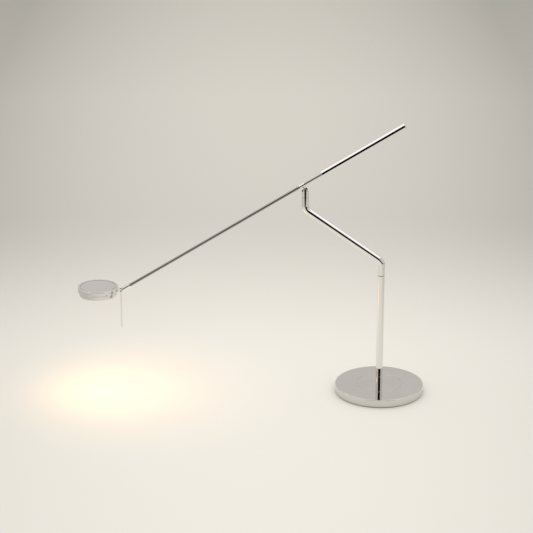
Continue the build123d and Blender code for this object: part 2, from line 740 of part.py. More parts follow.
def make_head_housing():
    """Spun aluminium housing, open below, whose rim stands round the cap with a shadow groove between."""
    housing = rod(head_diameter, housing_bottom, rim_top)
    housing = fillet(housing.edges().group_by(Axis.Z)[-1], housing_edge_radius)
    housing -= rod(2 * housing_inner_radius, shade_bottom, housing_ceiling)
    housing -= rod(cap_diameter + 2 * cap_groove_width, housing_top, rim_top + over)
    housing -= rod_x(neck_diameter, 0, head_diameter, neck_height)
    for place in cap_stud_places():
        housing -= place * rod(cap_stud_diameter, 0, housing_top + over)
    for turn in shade_screw_places():
        housing -= turn * rod_x(shade_screw_diameter, 0, head_diameter, housing_bottom + shade_lip_height / 2)
    for place in holder_screw_places():
        housing -= place * rod(holder_screw_diameter, 0, holder_thread_top)
    return head_centre * housing


def make_head_cap():
    """Pressed cap, flush with the housing's rim and held by three riveted studs."""
    cap = rod(cap_diameter, housing_top, rim_top)
    cap = fillet(cap.edges().group_by(Axis.Z)[-1], cap_rise / 3)
    cap -= rod(cap_diameter - 2 * cap_wall, housing_top, rim_top - cap_wall)
    for place in cap_stud_places():
        cap += place * rod(cap_stud_diameter, housing_ceiling, rim_top - cap_wall)
    return head_centre * cap


def make_shade_ring():
    """Lower ring of the head, with the lip inside the housing and the seat for the lens."""
    lip_radius = housing_inner_radius - fit_gap
    shade = rod(shade_diameter, shade_bottom, housing_bottom)
    shade = fillet(shade.edges().group_by(Axis.Z)[0], shade_edge_radius)
    shade += rod(2 * lip_radius, housing_bottom, housing_bottom + shade_lip_height)
    shade -= rod(shade_opening, shade_bottom - over, lens_bottom)
    inside = rod(shade_bore, lens_bottom, housing_top)
    shade -= fillet(inside.edges().group_by(Axis.Z)[0], shade_edge_radius - shade_wall)
    shade -= block(head_radius - shade_notch_depth, head_radius, -shade_notch_width / 2, shade_notch_width / 2,
                   housing_bottom, housing_top)
    for turn in shade_screw_places():
        shade -= turn * rod_x(shade_screw_diameter, 0, head_diameter, housing_bottom + shade_lip_height / 2)
    return head_centre * shade


def make_shade_screws():
    """Grub screws that hold the lower ring in the housing."""
    screw = grub_screw(shade_screw_diameter, shade_bore / 2, head_radius - screw_recess, small_socket_depth)
    screw = Pos(0, 0, housing_bottom + shade_lip_height / 2) * Rot(0, 0, -90) * screw
    return [head_centre * turn * screw for turn in shade_screw_places()]


def make_lens_glass():
    """Satin glass disc on the lower ring's seat."""
    return head_centre * rod(lens_diameter, lens_bottom, lens_top)


def make_lens_ring():
    """Split spring ring that holds the lens down."""
    outer = shade_bore - 2 * fit_gap
    spring = ring(outer, outer - 2 * lens_ring_width, lens_top, lens_top + lens_ring_thickness)
    split = block(-outer, 0, -lens_ring_split / 2, lens_ring_split / 2, lens_top, lens_top + lens_ring_thickness)
    return head_centre * (spring - split)


def make_reflector():
    """Spun aluminium reflector above the lamp capsule, with the opening for its holder."""
    rim_height = lens_top + lens_ring_thickness
    profile = Polygon(
        (0, housing_ceiling), (reflector_flat_radius, housing_ceiling), (reflector_rim_radius, rim_height),
        (reflector_rim_radius - reflector_wall, rim_height),
        (reflector_flat_radius - reflector_wall / 2, housing_ceiling - reflector_wall),
        (0, housing_ceiling - reflector_wall), align=None)
    reflector = revolve(Rot(90, 0, 0) * profile, Axis.Z)
    half_width = holder_width / 2 + pocket_gap
    window = block(holder_distance - reflector_window_lead, head_radius, -half_width, half_width, shade_bottom,
                   housing_top)
    return head_centre * (reflector - window)


def holder_screw_places():
    """Two screws side by side through the lamp holder."""
    x = holder_distance + holder_length * 2 / 3
    return [Pos(x, side * holder_screw_spacing / 2, 0) for side in (-1, 1)]


def make_lamp_holder():
    """Ceramic holder for the capsule's two pins, screwed to the housing."""
    holder = block(holder_distance, holder_distance + holder_length, -holder_width / 2, holder_width / 2,
                   holder_bottom, housing_ceiling)
    holder = chamfer(holder.edges().filter_by(Axis.Z).sort_by(Axis.X)[:2], holder_corner)
    for side in (-1, 1):
        holder -= Pos(0, side * lamp_pin_pitch / 2, 0) * rod_x(
            lamp_pin_diameter, holder_distance, holder_distance + lamp_pin_depth, capsule_height)
    end = holder_distance + holder_length
    holder -= rod_x(arm_lead_diameter, end - holder_lead_socket, end, neck_height)
    for place in holder_screw_places():
        holder -= place * rod(holder_screw_diameter, holder_bottom, housing_ceiling)
        holder -= place * rod(holder_screw_head, holder_bottom, holder_bottom + holder_screw_head_depth)
    return head_centre * holder


def make_holder_screws():
    """Screws that hold the lamp holder to the housing."""
    head_top = holder_bottom + holder_screw_head_depth
    screw = rod(holder_screw_head, holder_bottom + holder_screw_recess, head_top)
    screw += rod(holder_screw_diameter, head_top, holder_thread_top)
    return [head_centre * place * screw for place in holder_screw_places()]


def make_capsule_glass():
    """Low-voltage halogen capsule: round-ended bulb and the flat pressed seal."""
    bulb_start = holder_distance - seal_length
    bulb = rod_x(capsule_diameter, bulb_start - capsule_length, bulb_start, capsule_height)
    bulb = fillet(bulb.edges().filter_by(GeomType.CIRCLE), capsule_diameter * 0.4)
    seal = block(bulb_start - seal_overlap, holder_distance, -seal_width / 2, seal_width / 2,
                 capsule_height - seal_thickness / 2, capsule_height + seal_thickness / 2)
    return head_centre * (bulb + seal)


def make_capsule_pins():
    """The capsule's two contact pins."""
    pin = rod_x(lamp_pin_diameter, holder_distance, holder_distance + lamp_pin_depth, capsule_height)
    return [head_centre * Pos(0, side * lamp_pin_pitch / 2, 0) * pin for side in (-1, 1)]


def make_head_lead():
    """Lead through the knuckle's neck into the lamp holder."""
    start = -ferrule_eye_radius - knuckle_eye_gap
    end = -head_reach + holder_distance + holder_length - holder_lead_socket
    return head_place * lead([(start, 0, neck_height), (end, 0, neck_height)], arm_lead_diameter, 0)


parts = {
    "foot_pad": make_foot_pad(),
    "base_bottom_plate": make_bottom_plate(),
    "bottom_plate_screws": make_bottom_plate_screws(),
    "base_weight": make_base_weight(),
    "base_cover": make_base_cover(),
    "cord_gland": make_cord_gland(),
    "terminal_block": make_terminal_block(),
    "post_foot": make_post_foot(),
    "foot_washer": make_foot_washer(),
    "foot_nut": make_foot_nut(),
    "post_lead": make_post_lead(),
    "post_tube": make_post_tube(),
    "post_bush": make_post_bush(),
    "stem_seat": make_stem_seat(),
    "stem_stop_screw": make_stem_stop_screw(),
    "stem_tube": make_stem_tube(),
    "stem_spigot": make_stem_spigot(),
    "stem_lead": make_stem_lead(),
    "stem_sleeve": make_stem_sleeve(),
    "fork_stop_screw": make_fork_stop_screw(),
    "fork_washer": make_fork_washer(),
    "fork_head": make_fork_head(),
    "pivot_screws": make_pivot_screws(),
    "friction_washers": make_friction_washers(),
    "fork_lead": make_fork_lead(),
    "arm_tongue": make_arm_tongue(),
    "arm_tube": make_arm_tube(),
    "arm_end_plug": make_arm_end_plug(),
    "arm_lead": make_arm_lead(),
    "tail_rod": make_tail_rod(),
    "counterweight": make_counterweight(),
    "counterweight_screw": make_counterweight_screw(),
    "swivel_ferrule": make_swivel_ferrule(),
    "ferrule_screw": make_ferrule_screw(),
    "head_knuckle": make_head_knuckle(),
    "knuckle_screws": make_knuckle_screws(),
    "neck_nut": make_neck_nut(),
    "handle_rod": make_handle_rod(),
    "head_housing": make_head_housing(),
    "head_cap": make_head_cap(),
    "shade_ring": make_shade_ring(),
    "shade_screws": make_shade_screws(),
    "lens_glass": make_lens_glass(),
    "lens_ring": make_lens_ring(),
    "reflector": make_reflector(),
    "lamp_holder": make_lamp_holder(),
    "holder_screws": make_holder_screws(),
    "capsule_glass": make_capsule_glass(),
    "capsule_pins": make_capsule_pins(),
    "head_lead": make_head_lead(),
}

os.makedirs("parts", exist_ok=True)
for name, shape in parts.items():
    if isinstance(shape, list):
        shape = Compound(children=shape)
    export_step(shape, f"parts/{name}.step")

print("pivot at", round(pivot_point.X, 3), round(pivot_point.Z, 3))
print("knuckle at", round(hub_x, 3), round(hub_z, 3))
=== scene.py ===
# Counterweight balance desk lamp: polished chrome on a weighted disc base, a post with a
# bent stem that turns in it, a thin balance arm on a fork, and a flat round lamp head.
import json
import math

import bmesh
import bpy
from mathutils import Matrix, Vector

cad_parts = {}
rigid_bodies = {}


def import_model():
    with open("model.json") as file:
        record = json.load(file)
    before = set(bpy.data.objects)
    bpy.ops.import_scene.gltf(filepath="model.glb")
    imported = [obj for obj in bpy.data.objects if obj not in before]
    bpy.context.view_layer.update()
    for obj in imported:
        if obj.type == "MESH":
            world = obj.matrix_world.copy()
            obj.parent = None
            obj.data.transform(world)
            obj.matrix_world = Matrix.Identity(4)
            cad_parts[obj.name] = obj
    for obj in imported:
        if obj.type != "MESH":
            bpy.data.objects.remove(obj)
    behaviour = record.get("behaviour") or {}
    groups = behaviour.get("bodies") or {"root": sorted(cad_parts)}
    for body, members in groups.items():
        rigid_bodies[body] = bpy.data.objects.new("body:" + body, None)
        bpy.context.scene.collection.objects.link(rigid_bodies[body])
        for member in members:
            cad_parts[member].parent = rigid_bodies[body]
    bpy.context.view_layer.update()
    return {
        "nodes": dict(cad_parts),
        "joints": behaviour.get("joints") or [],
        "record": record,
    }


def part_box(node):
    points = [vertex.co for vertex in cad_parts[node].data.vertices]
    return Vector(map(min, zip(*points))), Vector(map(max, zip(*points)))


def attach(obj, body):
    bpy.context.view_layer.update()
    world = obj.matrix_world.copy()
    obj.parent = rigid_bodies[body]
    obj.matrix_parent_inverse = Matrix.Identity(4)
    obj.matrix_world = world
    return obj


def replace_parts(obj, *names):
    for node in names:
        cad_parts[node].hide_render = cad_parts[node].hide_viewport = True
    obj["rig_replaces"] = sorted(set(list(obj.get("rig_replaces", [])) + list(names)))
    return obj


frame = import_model()

# Camera: a long lens above and in front of the lamp, level from side to side, that looks
# along +Y and down. Its place and focal length were worked out from the ellipses of the
# base and the head.
image_width_px = 533
focal_length_px = 2000
look_down = math.radians(19.84)
camera_place = (-0.23088, -3.7815, 1.63518)
camera_data = bpy.data.cameras.new("camera")
camera_data.sensor_width = 36.0
camera_data.lens = camera_data.sensor_width * focal_length_px / image_width_px
camera = bpy.data.objects.new("camera", camera_data)
camera.location = camera_place
camera.rotation_euler = (math.pi / 2 - look_down, 0, 0)
bpy.context.scene.collection.objects.link(camera)
bpy.context.scene.camera = camera
bpy.context.scene.view_settings.view_transform = "Standard"


# Floor: a wide sweep of matt painted board, palest round the lamp. It is painted a little darker
# behind the lamp and out to both sides, as painted shade where less light falls, and a little lighter again
# far behind.
def linear(hex_colour):
    """The linear colour of an sRGB hex value, with full alpha."""
    parts = [int(hex_colour[i:i + 2], 16) / 255 for i in (1, 3, 5)]
    return [p / 12.92 if p <= 0.04045 else ((p + 0.055) / 1.055) ** 2.4 for p in parts] + [1.0]


def add_node(tree, kind, settings={}, inputs={}):
    """Adds a node with its settings. An input is a value, or a socket to link."""
    node = tree.nodes.new(kind)
    for key, value in settings.items():
        setattr(node, key, value)
    for key, value in inputs.items():
        if isinstance(value, bpy.types.NodeSocket):
            tree.links.new(value, node.inputs[key])
        else:
            node.inputs[key].default_value = value
    return node


def new_material(name, **shader_values):
    """A material with one Principled shader, given as (material, tree, shader)."""
    material = bpy.data.materials.new(name)
    material.use_nodes = True
    shader = material.node_tree.nodes["Principled BSDF"]
    for key, value in shader_values.items():
        shader.inputs[key].default_value = value
    return material, material.node_tree, shader


def spun_shape(outline, steps, closed=False):
    """Outline of (radius, height, corner radius), spun about Z into a closed mesh."""
    shape = bmesh.new()
    points = [shape.verts.new((radius, 0, height)) for radius, height, corner in outline]
    ends = points[1:] + points[:1] if closed else points[1:]
    for start, end in zip(points, ends):
        shape.edges.new((start, end))
    for point, (radius, height, corner) in zip(points, outline):
        if corner:
            bmesh.ops.bevel(shape, geom=[point], offset=corner, offset_type="OFFSET", segments=5,
                            profile=0.5, affect="VERTICES", material=-1)
    bmesh.ops.spin(shape, geom=shape.verts[:] + shape.edges[:], cent=(0, 0, 0), axis=(0, 0, 1),
                   angle=2 * math.pi, steps=steps, use_merge=True)
    bmesh.ops.remove_doubles(shape, verts=shape.verts, dist=1e-6)
    bmesh.ops.recalc_face_normals(shape, faces=shape.faces)
    return shape


floor_radius = 12.0
# The far colour is painted shade behind the lamp. The side values are painted shade out to both sides, and
# the lift is painted light far behind.
floor_near_colour = "#F3F1EB"
floor_far_painted_shade_colour = "#D5D3CD"
fade_start, fade_end = 0.1, 1.15
side_centre, side_reach = -0.25, 0.87
near_painted_side_shade, far_painted_side_shade = 0.25, 0.36
distant_painted_lift = 0.12
floor_shape = bmesh.new()
bmesh.ops.create_circle(floor_shape, cap_ends=True, segments=128, radius=floor_radius)
floor_mesh = bpy.data.meshes.new("studio_floor")
floor_shape.to_mesh(floor_mesh)
floor = bpy.data.objects.new("studio_floor", floor_mesh)
bpy.context.scene.collection.objects.link(floor)
board, tree, shader = new_material("matt_board_with_painted_shade", Roughness=0.9)
place = add_node(tree, "ShaderNodeTexCoord").outputs["Object"]
axes = add_node(tree, "ShaderNodeSeparateXYZ", {}, {"Vector": place}).outputs
# Painted shade and light: from the near colour to the darker far one behind the lamp, darker out to the
# sides, a little lighter again far off.
share = add_node(tree, "ShaderNodeMapRange", {"interpolation_type": "SMOOTHSTEP"}, {
    "Value": axes["Y"], "From Min": fade_start, "From Max": fade_end}).outputs["Result"]
sweep = add_node(tree, "ShaderNodeMix", {"data_type": "RGBA"}, {
    "Factor": share, 6: linear(floor_near_colour), 7: linear(floor_far_painted_shade_colour)}).outputs[2]
aside = add_node(tree, "ShaderNodeMath", {"operation": "SUBTRACT"}, {
    0: axes["X"], 1: side_centre}).outputs["Value"]
squared = add_node(tree, "ShaderNodeMath", {"operation": "MULTIPLY"}, {0: aside, 1: aside}).outputs["Value"]
outward = add_node(tree, "ShaderNodeMapRange", {}, {
    "Value": squared, "From Max": side_reach ** 2}).outputs["Result"]
strength = add_node(tree, "ShaderNodeMapRange", {"interpolation_type": "SMOOTHSTEP"}, {
    "Value": axes["Y"], "From Min": fade_start, "From Max": fade_end,
    "To Min": near_painted_side_shade, "To Max": far_painted_side_shade}).outputs["Result"]
painted_side_shade = add_node(tree, "ShaderNodeMath", {"operation": "MULTIPLY"}, {0: outward, 1: strength}).outputs["Value"]
lift = add_node(tree, "ShaderNodeMapRange", {}, {
    "Value": axes["Y"], "From Min": fade_end, "From Max": 2 * fade_end,
    "To Min": 1.0, "To Max": 1.0 + distant_painted_lift}).outputs["Result"]
kept = add_node(tree, "ShaderNodeMath", {"operation": "SUBTRACT"}, {0: lift, 1: painted_side_shade}).outputs["Value"]
colour = add_node(tree, "ShaderNodeVectorMath", {"operation": "SCALE"}, {
    0: sweep, "Scale": kept}).outputs["Vector"]
tree.links.new(colour, shader.inputs["Base Color"])
floor_mesh.materials.append(board)

# Studio light: an even pale room and a broad softbox overhead. The room in front of the
# lamp is dark from about a metre away, which black cards stand for. Only reflections see
# them, and they draw the dark lines in the polished chrome.
softbox_data = bpy.data.lights.new("overhead_softbox", "AREA")
softbox_data.shape = "RECTANGLE"
softbox_data.size = 5.4
softbox_data.size_y = 4.4
softbox_data.energy = 40.0
softbox_data.color = linear("#FFFFFF")[:3]
softbox = bpy.data.objects.new("overhead_softbox", softbox_data)
softbox.location = (0.0, 0.4, 2.4)
bpy.context.scene.collection.objects.link(softbox)

room_colour = "#DAD7D2"
world = bpy.data.worlds.new("studio")
world.use_nodes = True
bpy.context.scene.world = world
world.node_tree.nodes["Background"].inputs["Color"].default_value = linear(room_colour)
world.node_tree.nodes["Background"].inputs["Strength"].default_value = 1.0


def black_card(name, corners):
    """Card of black flock, seen only in reflections."""
    shape = bmesh.new()
    shape.faces.new([shape.verts.new(corner) for corner in corners])
    mesh = bpy.data.meshes.new(name)
    shape.to_mesh(mesh)
    mesh.materials.append(flock)
    card = bpy.data.objects.new(name, mesh)
    card.visible_camera = False
    card.visible_diffuse = False
    card.visible_shadow = False
    bpy.context.scene.collection.objects.link(card)


# Black flock: swallows nearly all light. The near edge of the floor card fades into the
# colour of the floor.
flock_colour = "#050505"
card_near, card_black, card_far = -0.9, -1.25, -4.3
card_half, card_lift, card_top = 3.4, 0.004, 4.5
flock, tree, shader = new_material("black_flock", Roughness=1.0)
shader.inputs["Specular IOR Level"].default_value = 0.0
place = add_node(tree, "ShaderNodeTexCoord").outputs["Object"]
ahead = add_node(tree, "ShaderNodeSeparateXYZ", {}, {"Vector": place}).outputs["Y"]
share = add_node(tree, "ShaderNodeMapRange", {}, {
    "Value": ahead, "From Min": card_black, "From Max": card_near}).outputs["Result"]
colour = add_node(tree, "ShaderNodeMix", {"data_type": "RGBA"}, {
    "Factor": share, 6: linear(flock_colour), 7: linear(floor_near_colour)}).outputs[2]
tree.links.new(colour, shader.inputs["Base Color"])
black_card("floor_card", [(-card_half, card_near, card_lift), (card_half, card_near, card_lift),
                          (card_half, card_far, card_lift), (-card_half, card_far, card_lift)])
black_card("upright_card", [(-card_half, card_far, card_lift), (card_half, card_far, card_lift),
                            (card_half, card_far, card_top), (-card_half, card_far, card_top)])

# Base cover: a spun steel dish, plated and polished, with one fine ring turned in its
# top. It hides the cast weight, and the post stands in its middle.
mm = 0.001


def finished(name, shape, material, edge=0.0, smooth_angle=35):
    """Object of a bmesh, smooth but for edges sharper than the angle, with flat faces kept flat."""
    for crease in shape.edges:
        crease.smooth = crease.calc_face_angle(0) < math.radians(smooth_angle)
    for face in shape.faces:
        face.smooth = True
    mesh = bpy.data.meshes.new(name)
    shape.to_mesh(mesh)
    shape.free()
    mesh.materials.append(material)
    piece = bpy.data.objects.new(name, mesh)
    bpy.context.scene.collection.objects.link(piece)
    if edge:
        broken = piece.modifiers.new("broken_edges", "BEVEL")
        broken.width = edge
        broken.segments = 2
        broken.limit_method = "ANGLE"
        broken.angle_limit = math.radians(40)
    piece.modifiers.new("flat_faces_kept", "WEIGHTED_NORMAL").keep_sharp = True
    return piece


def belongs(piece, body, node):
    """The piece moves with a body and stands for a node."""
    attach(piece, body)
    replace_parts(piece, node)


def placed(shape, place):
    """The shape moved by a matrix."""
    bmesh.ops.transform(shape, matrix=place, verts=shape.verts)
    return shape


def bored(shape, mouth, inward, diameter, depth, sides=48):
    """The shape with a round hole cut in from a point on its surface."""
    cutter_shape = bmesh.new()
    bmesh.ops.create_cone(cutter_shape, cap_ends=True, segments=sides, radius1=diameter / 2,
                          radius2=diameter / 2, depth=2 * depth)
    turn = inward.to_track_quat("Z", "Y").to_matrix().to_4x4()
    placed(cutter_shape, Matrix.Translation(mouth) @ turn)
    solids = []
    for name, source in (("blank", shape), ("cutter", cutter_shape)):
        mesh = bpy.data.meshes.new(name)
        source.to_mesh(mesh)
        source.free()
        solids.append(bpy.data.objects.new(name, mesh))
        bpy.context.scene.collection.objects.link(solids[-1])
    blank, cutter = solids
    hole = blank.modifiers.new("hole", "BOOLEAN")
    hole.operation = "DIFFERENCE"
    hole.solver = "EXACT"
    hole.object = cutter
    evaluated = blank.evaluated_get(bpy.context.evaluated_depsgraph_get())
    cut = bmesh.new()
    cut.from_mesh(bpy.data.meshes.new_from_object(evaluated))
    for solid in solids:
        bpy.data.objects.remove(solid)
    return cut


# Chrome plate over steel or aluminium: a cool, nearly colourless mirror. Its haze is a
# slow change of gloss over a few centimetres, from the polishing mop.
chrome_roughness = (0.015, 0.05)
chrome_haze_mm = 40.0
chrome_ripple_mm = 0.02
drawn_out = (1, 1, 0.1)
bright_tones = ("#E4E4E2", "#ECECEA")


def chrome(name, grain_mm, place=Matrix(), turned=False, tones=bright_tones):
    """Bright chrome over polished metal: near mirror, with faint marks of the polishing.

    The marks run along the piece's own length, which the place turns to Z, or round it
    where it was turned on a spindle. They are drawn coarser than they are, so as to show.
    """
    material, tree, shader = new_material(name, Metallic=1.0)
    here = add_node(tree, "ShaderNodeTexCoord").outputs["Object"]
    back = place.inverted()
    own = add_node(tree, "ShaderNodeMapping", {}, {
        "Vector": here, "Location": back.to_translation(), "Rotation": back.to_euler()}).outputs["Vector"]
    grain_scale = 1 / (grain_mm * mm)
    if turned:
        flat = add_node(tree, "ShaderNodeVectorMath", {"operation": "MULTIPLY"}, {
            0: own, 1: (1, 1, 0)}).outputs["Vector"]
        radius = add_node(tree, "ShaderNodeVectorMath", {"operation": "LENGTH"}, {0: flat}).outputs["Value"]
        marks = add_node(tree, "ShaderNodeTexNoise", {"noise_dimensions": "1D"}, {
            "W": radius, "Scale": grain_scale, "Detail": 3.0}).outputs["Fac"]
    else:
        drawn = add_node(tree, "ShaderNodeVectorMath", {"operation": "MULTIPLY"}, {
            0: own, 1: drawn_out}).outputs["Vector"]
        marks = add_node(tree, "ShaderNodeTexNoise", {}, {
            "Vector": drawn, "Scale": grain_scale, "Detail": 3.0}).outputs["Fac"]
    haze = add_node(tree, "ShaderNodeTexNoise", {}, {
        "Vector": here, "Scale": 1 / (chrome_haze_mm * mm), "Detail": 2.0}).outputs["Fac"]
    both = add_node(tree, "ShaderNodeMath", {"operation": "MULTIPLY"}, {0: marks, 1: haze}).outputs["Value"]
    rough = add_node(tree, "ShaderNodeMapRange", {}, {
        "Value": both, "From Min": 0.1, "From Max": 0.5,
        "To Min": chrome_roughness[0], "To Max": chrome_roughness[1]}).outputs["Result"]
    tone = add_node(tree, "ShaderNodeMix", {"data_type": "RGBA"}, {
        "Factor": haze, 6: linear(tones[0]), 7: linear(tones[1])}).outputs[2]
    ripple = add_node(tree, "ShaderNodeBump", {}, {
        "Height": marks, "Strength": 0.02, "Distance": chrome_ripple_mm * mm}).outputs["Normal"]
    for socket, value in (("Roughness", rough), ("Base Color", tone), ("Normal", ripple)):
        tree.links.new(value, shader.inputs[socket])
    return material


# On spun steel the marks run round, and the dish is a little greyer than the tubes.
spun_chrome = chrome("chrome_on_spun_steel", 0.6, turned=True, tones=("#D2D0CD", "#DAD8D5"))
cover_low, cover_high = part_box("base_cover")
gland_low, gland_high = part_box("cord_gland")
cover_radius = cover_high.x
cover_wall = 1.5 * mm
cover_edge = 1.2 * mm
ring_radius = 46.0 * mm
ring_half = 0.6 * mm
ring_depth = 0.5 * mm
ring_edge = 0.2 * mm
rim_edge = 0.3 * mm
gland_neck = 7.2 * mm
gland_hole_depth = 4 * mm
backward = Vector((0, 1, 0))
disc_steps = 256
cover_shape = spun_shape([
    (0, cover_high.z, 0),
    (ring_radius - ring_half, cover_high.z, ring_edge),
    (ring_radius - ring_half, cover_high.z - ring_depth, ring_edge),
    (ring_radius + ring_half, cover_high.z - ring_depth, ring_edge),
    (ring_radius + ring_half, cover_high.z, ring_edge),
    (cover_radius, cover_high.z, cover_edge),
    (cover_radius, cover_low.z, rim_edge),
    (cover_radius - cover_wall, cover_low.z, rim_edge),
    (cover_radius - cover_wall, cover_high.z - cover_wall, cover_edge),
    (0, cover_high.z - cover_wall, 0)], disc_steps)
gland_height = (gland_low.z + gland_high.z) / 2
gland_place = Vector((0, cover_radius, gland_height))
cover_shape = bored(cover_shape, gland_place, -backward, gland_neck, gland_hole_depth)
base_cover = finished("chromed_base_cover", cover_shape, spun_chrome)
belongs(base_cover, "base", "base_cover")


# Foot pad: a disc of dense rubber glued under the base, a little smaller than it, so the
# base seems to stand on a thin dark line.
def grained(name, tones, grain_mm, bump_mm, roughness, **shader_values):
    """A material mottled between two tones, with the same grain in its gloss and relief."""
    material, tree, shader = new_material(name, **shader_values)
    here = add_node(tree, "ShaderNodeTexCoord").outputs["Object"]
    grain = add_node(tree, "ShaderNodeTexNoise", {}, {
        "Vector": here, "Scale": 1 / (grain_mm * mm), "Detail": 4.0, "Roughness": 0.6}).outputs["Fac"]
    tone = add_node(tree, "ShaderNodeMix", {"data_type": "RGBA"}, {
        "Factor": grain, 6: linear(tones[0]), 7: linear(tones[1])}).outputs[2]
    rough = add_node(tree, "ShaderNodeMapRange", {}, {
        "Value": grain, "From Min": 0.3, "From Max": 0.7,
        "To Min": roughness[0], "To Max": roughness[1]}).outputs["Result"]
    relief = add_node(tree, "ShaderNodeBump", {}, {
        "Height": grain, "Strength": 0.5, "Distance": bump_mm * mm}).outputs["Normal"]
    for socket, value in (("Base Color", tone), ("Roughness", rough), ("Normal", relief)):
        tree.links.new(value, shader.inputs[socket])
    return material


# Dense rubber: nearly black and dull, with the fine grain of a moulded sheet.
pad_rubber = grained("dense_rubber", ("#1B1B1A", "#242423"), 0.8, 0.1, (0.7, 0.85))
pad_low, pad_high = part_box("foot_pad")
pad_edge = 0.3 * mm
pad_shape = spun_shape([
    (0, pad_low.z, 0), (pad_high.x, pad_low.z, pad_edge), (pad_high.x, pad_high.z, 0),
    (0, pad_high.z, 0)], disc_steps)
foot_pad = finished("rubber_foot_pad", pad_shape, pad_rubber)
belongs(foot_pad, "base", "foot_pad")


# Cord gland: a moulded rubber bush in the back wall of the cover, with a rounded flange
# outside and one inside. It is moulded in one piece and pushed in.
def machined(name, node, material, edge):
    """A piece on its CAD node's own shape, with its edges broken by a small radius."""
    shape = bmesh.new()
    shape.from_mesh(frame["nodes"][node].data)
    bmesh.ops.remove_doubles(shape, verts=shape.verts, dist=1e-6)
    bmesh.ops.dissolve_limit(shape, angle_limit=math.radians(0.5), verts=shape.verts, edges=shape.edges)
    return finished(name, shape, material, edge)


# Moulded rubber: black, with the faint satin of a polished mould.
gland_rubber = grained("moulded_rubber", ("#161616", "#1E1E1D"), 0.5, 0.03, (0.5, 0.62))
cord_gland = machined("rubber_cord_gland", "cord_gland", gland_rubber, edge=0.2 * mm)
belongs(cord_gland, "base", "cord_gland")

# Post: a drawn steel tube, polished and chromed, clamped to the base from below. Its
# polishing marks run along it. The hole in its back is for the stem's stop screw.
tube_chrome = chrome("chrome_on_drawn_tube", 0.8)
post_low, post_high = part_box("post_tube")
screw_low, screw_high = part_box("stem_stop_screw")
post_radius = post_high.x
post_bore = 6.35 * mm
tube_edge = 0.25 * mm
stop_screw_hole = 3.0 * mm
stop_screw_place = Vector((0, post_radius, (screw_low.z + screw_high.z) / 2))
tube_hole_depth = 2 * mm
tube_steps = 96
post_shape = spun_shape([
    (post_radius, post_low.z, 0), (post_radius, post_high.z, tube_edge),
    (post_bore, post_high.z, tube_edge), (post_bore, post_low.z, 0)], tube_steps, closed=True)
post_shape = bored(post_shape, stop_screw_place, -backward, stop_screw_hole, tube_hole_depth)
post = finished("chromed_post", post_shape, tube_chrome)
belongs(post, "base", "post_tube")

# Post bush: black nylon, turned, pressed in the post's mouth. Its flange is the dark line
# under the stem, and the stem's spigot turns in it. The turned nylon has a low sheen.
turned_nylon = grained("turned_nylon", ("#151515", "#1D1D1D"), 0.6, 0.02, (0.42, 0.55))
bush_low, bush_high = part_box("post_bush")
bush_bore = 5.15 * mm
bush_edge = 0.25 * mm
bush_shape = spun_shape([
    (bush_bore, bush_low.z, 0), (post_bore, bush_low.z, bush_edge), (post_bore, post_high.z, 0),
    (bush_high.x, post_high.z, 0), (bush_high.x, bush_high.z, bush_edge),
    (bush_bore, bush_high.z, bush_edge)], tube_steps, closed=True)
post_bush = finished("nylon_post_bush", bush_shape, turned_nylon)
belongs(post_bush, "base", "post_bush")

# Stem: one steel tube, bent twice on a former so that its ends are upright and its middle
# slopes, then polished and chromed. It is as thick as the post and stands on the bush,
# with a spigot in its lower end that turns in the post.
joints = {joint["name"]: joint for joint in frame["joints"]}
stem_low, stem_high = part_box("stem_tube")
fork_axis = Vector(joints["arm_swivel"]["pos_m"])
stem_radius = stem_high.x
stem_wall = 1.0 * mm
bend_radius = 16.0 * mm
low_corner = Vector((0, 0, 281.6 * mm))
high_corner = Vector((fork_axis.x, 0, 391.5 * mm))
slope = (high_corner - low_corner).normalized()
bend_angle = slope.angle(Vector((0, 0, 1)))
bend_length = bend_radius * math.tan(bend_angle / 2)
bend_steps = 24
stem_steps = 72
stem_edge = 0.2 * mm
stem_shape = bmesh.new()
bmesh.ops.create_circle(stem_shape, segments=stem_steps, radius=stem_radius,
                        matrix=Matrix.Translation((0, 0, stem_low.z)))
section = stem_shape.edges[:]
straight_runs = (Vector((0, 0, low_corner.z - bend_length - stem_low.z)),
                 slope * ((high_corner - low_corner).length - 2 * bend_length),
                 Vector((0, 0, stem_high.z - high_corner.z - bend_length)))
bends = ((low_corner + Vector((-bend_radius, 0, -bend_length)), -1),
         (high_corner + Vector((bend_radius, 0, bend_length)), 1))
for number, run in enumerate(straight_runs):
    grown = bmesh.ops.extrude_edge_only(stem_shape, edges=section)["geom"]
    bmesh.ops.translate(stem_shape, vec=run, verts=[v for v in grown if isinstance(v, bmesh.types.BMVert)])
    section = [e for e in grown if isinstance(e, bmesh.types.BMEdge) and all(v in grown for v in e.verts)]
    if number < len(bends):
        centre, way = bends[number]
        grown = bmesh.ops.spin(stem_shape, geom=section, cent=centre, axis=(0, way, 0), angle=bend_angle,
                               steps=bend_steps)["geom_last"]
        section = [e for e in grown if isinstance(e, bmesh.types.BMEdge)]
bmesh.ops.recalc_face_normals(stem_shape, faces=stem_shape.faces)
bmesh.ops.solidify(stem_shape, geom=stem_shape.faces[:], thickness=stem_wall)
fork_screw_low, fork_screw_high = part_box("fork_stop_screw")
fork_screw_place = Vector((fork_axis.x, stem_radius, (fork_screw_low.z + fork_screw_high.z) / 2))
stem_shape = bored(stem_shape, fork_screw_place, -backward, stop_screw_hole, tube_hole_depth)
stem = finished("chromed_stem", stem_shape, tube_chrome, stem_edge)
belongs(stem, "stem", "stem_tube")

